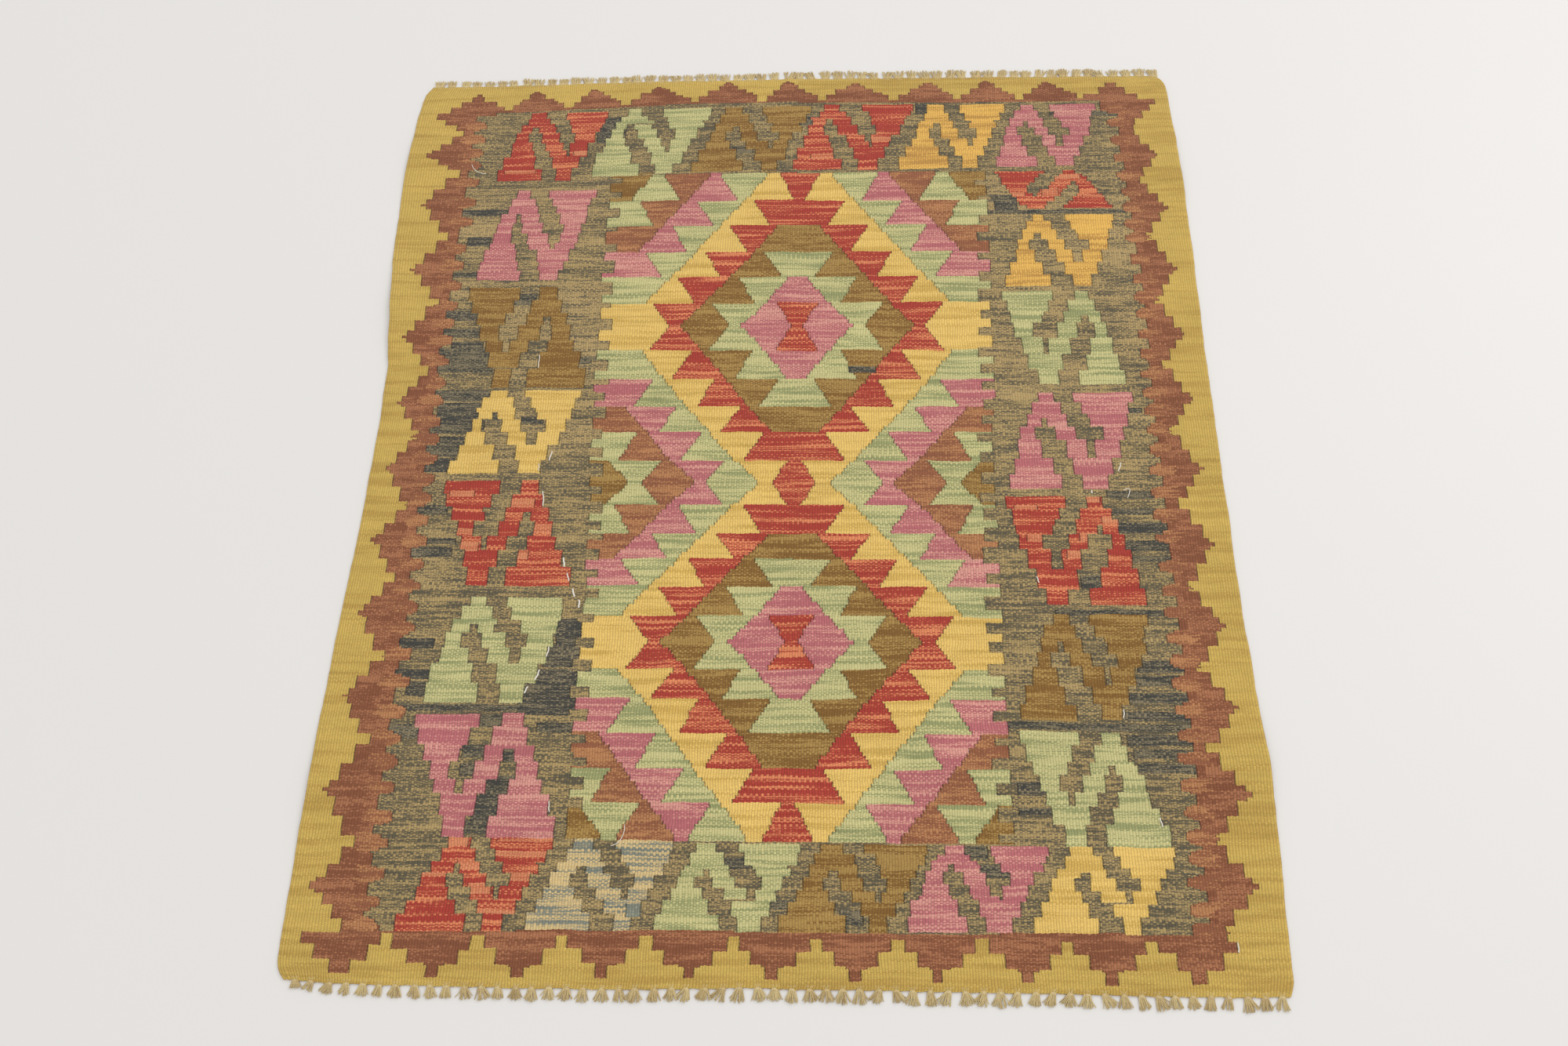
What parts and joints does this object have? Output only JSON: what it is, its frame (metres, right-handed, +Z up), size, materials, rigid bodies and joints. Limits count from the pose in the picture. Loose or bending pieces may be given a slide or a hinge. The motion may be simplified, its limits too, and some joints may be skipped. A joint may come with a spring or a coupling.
{
  "type": "kilim rug",
  "caption": "Flatwoven kilim rug lying flat, one thin rectangular cloth with slightly wavy selvedges and a short knotted warp fringe at each end.",
  "frame": {"origin": "under the middle of the whole rug with its fringes, at floor level", "axes": "+Z up from the floor, +Y along the warps towards the far fringe, +X across the rug to the right"},
  "size_m": [1.0356, 1.2532, 0.0073],
  "materials": {
    "wool": "matt slit-woven wool, weft-faced",
    "warp_yarn": "undyed plied warp yarn, knotted"
  },
  "bodies": {
    "root": {"cloth": "wool", "fringe_near": "warp_yarn", "fringe_far": "warp_yarn"}
  },
  "joints": []
}
